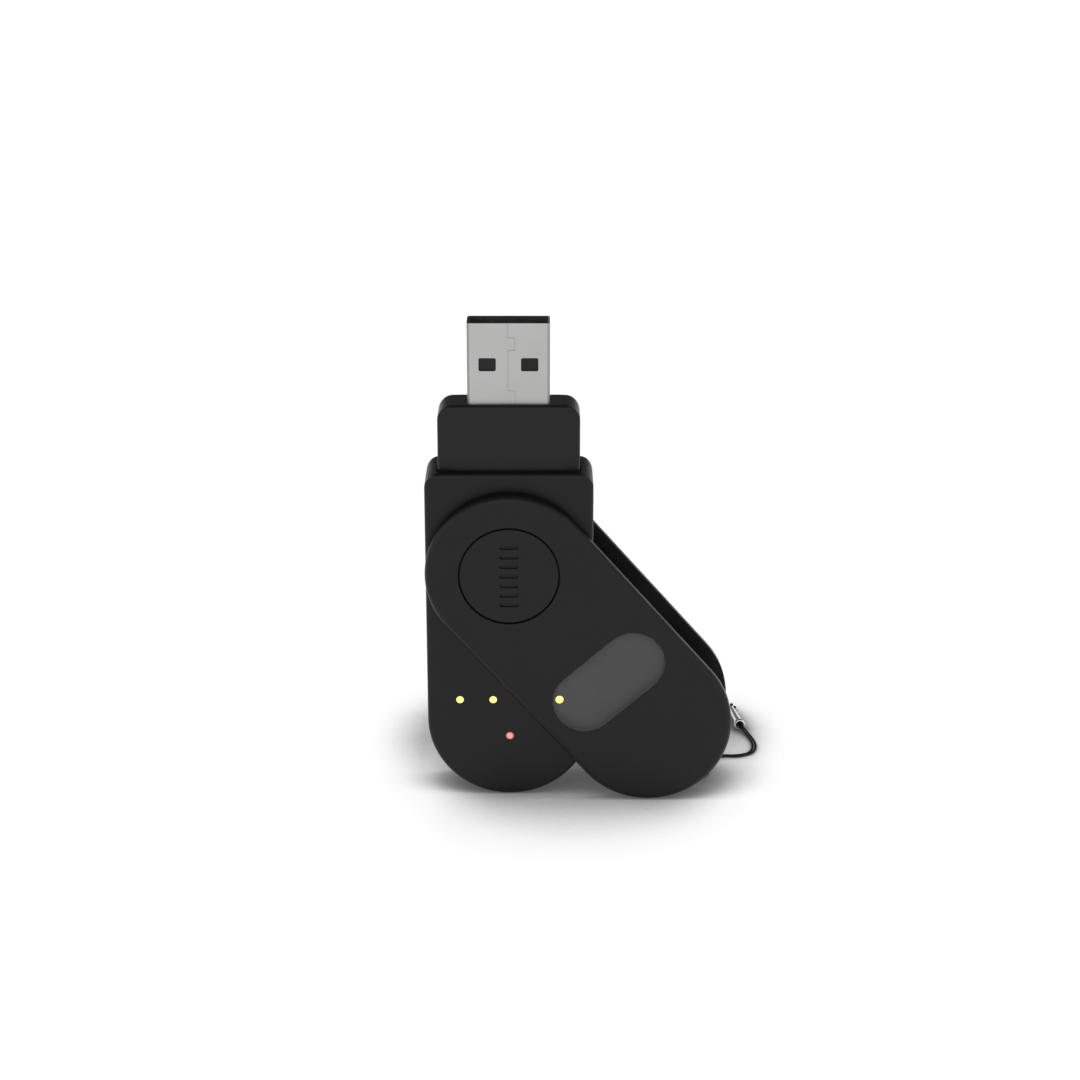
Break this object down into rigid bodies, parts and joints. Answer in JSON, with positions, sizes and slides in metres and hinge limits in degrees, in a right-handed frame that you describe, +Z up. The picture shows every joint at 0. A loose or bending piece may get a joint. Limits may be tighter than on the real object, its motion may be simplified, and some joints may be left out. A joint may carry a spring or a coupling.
{
  "type": "usb microcontroller programmer",
  "caption": "Stick-shaped microcontroller programmer with a bare USB plug, status lamps, a swivel cover with a smoked window, and a thin wrist lanyard.",
  "frame": {"origin": "on the standing surface, halfway between the stick's round foot and the swung cover's round foot, at the mid-plane", "axes": "+Z up along the stick towards the plug, +X across the stick towards the swung cover, +Y from the front face with the window to the back"},
  "size_m": [0.0517, 0.0353, 0.0734],
  "materials": {
    "shells": "moulded black ABS, satin with a fine grain",
    "collar": "moulded black ABS, satin with a fine grain",
    "cover": "moulded black ABS, satin with a fine grain",
    "hub_caps": "moulded black ABS, satin",
    "plug_steel": "nickel-plated folded sheet steel, satin",
    "insulator": "black PBT",
    "contacts": "gold flashed",
    "board": "green solder mask",
    "chips": "black epoxy packages",
    "leads": "tinned",
    "crystal_can": "pressed can",
    "chip_parts": "ceramic",
    "lamps": "lamp packages with yellow lenses",
    "lamp_red": "lamp package with a red lens",
    "light_pipes": "clear acrylic, lit yellow",
    "light_pipe_red": "clear acrylic, lit red",
    "lens": "smoked acrylic, polished",
    "rubber": "soft friction rings",
    "fasteners": "zinc plated",
    "ferrule": "polished",
    "cord": "braided black polyester"
  },
  "bodies": {
    "stick": {"front_shell": "shells", "rear_shell": "shells", "plug_collar": "collar", "plug_shell": "plug_steel", "plug_tongue": "insulator", "circuit_board": "board", "microcontroller": "chips", "voltage_regulator": "chips", "memory_chip": "chips", "crystal": "crystal_can", "microcontroller_leads": "leads", "memory_chip_leads": "leads", "capacitors": "chip_parts", "resistors": "chip_parts", "red_lamp": "lamp_red", "red_light_pipe": "light_pipe_red", "front_hub_cap": "hub_caps", "rear_hub_cap": "hub_caps", "hub_screw": "fasteners", "front_friction_ring": "rubber", "rear_friction_ring": "rubber", "plug_contact_1": "contacts", "yellow_lamp_1": "lamps", "yellow_light_pipe_1": "light_pipes", "plug_contact_2": "contacts", "yellow_lamp_2": "lamps", "yellow_light_pipe_2": "light_pipes", "plug_contact_3": "contacts", "yellow_lamp_3": "lamps", "yellow_light_pipe_3": "light_pipes", "plug_contact_4": "contacts", "yellow_lamp_4": "lamps", "yellow_light_pipe_4": "light_pipes"},
    "cover": {"cover_front": "cover", "cover_rear": "cover", "window_lens": "lens", "upper_cover_dowel": "fasteners", "lower_cover_dowel": "fasteners", "lanyard_pin": "fasteners", "lanyard_cord": "cord", "lanyard_ferrule": "ferrule", "lanyard_knot_1": "cord", "lanyard_knot_2": "cord"}
  },
  "joints": [
    {"name": "cover_swivel", "type": "hinge", "parent": "stick", "child": "cover", "pos_m": [-0.01048, 0, 0.03631], "axis": [0, 1, 0], "continuous": true}
  ]
}
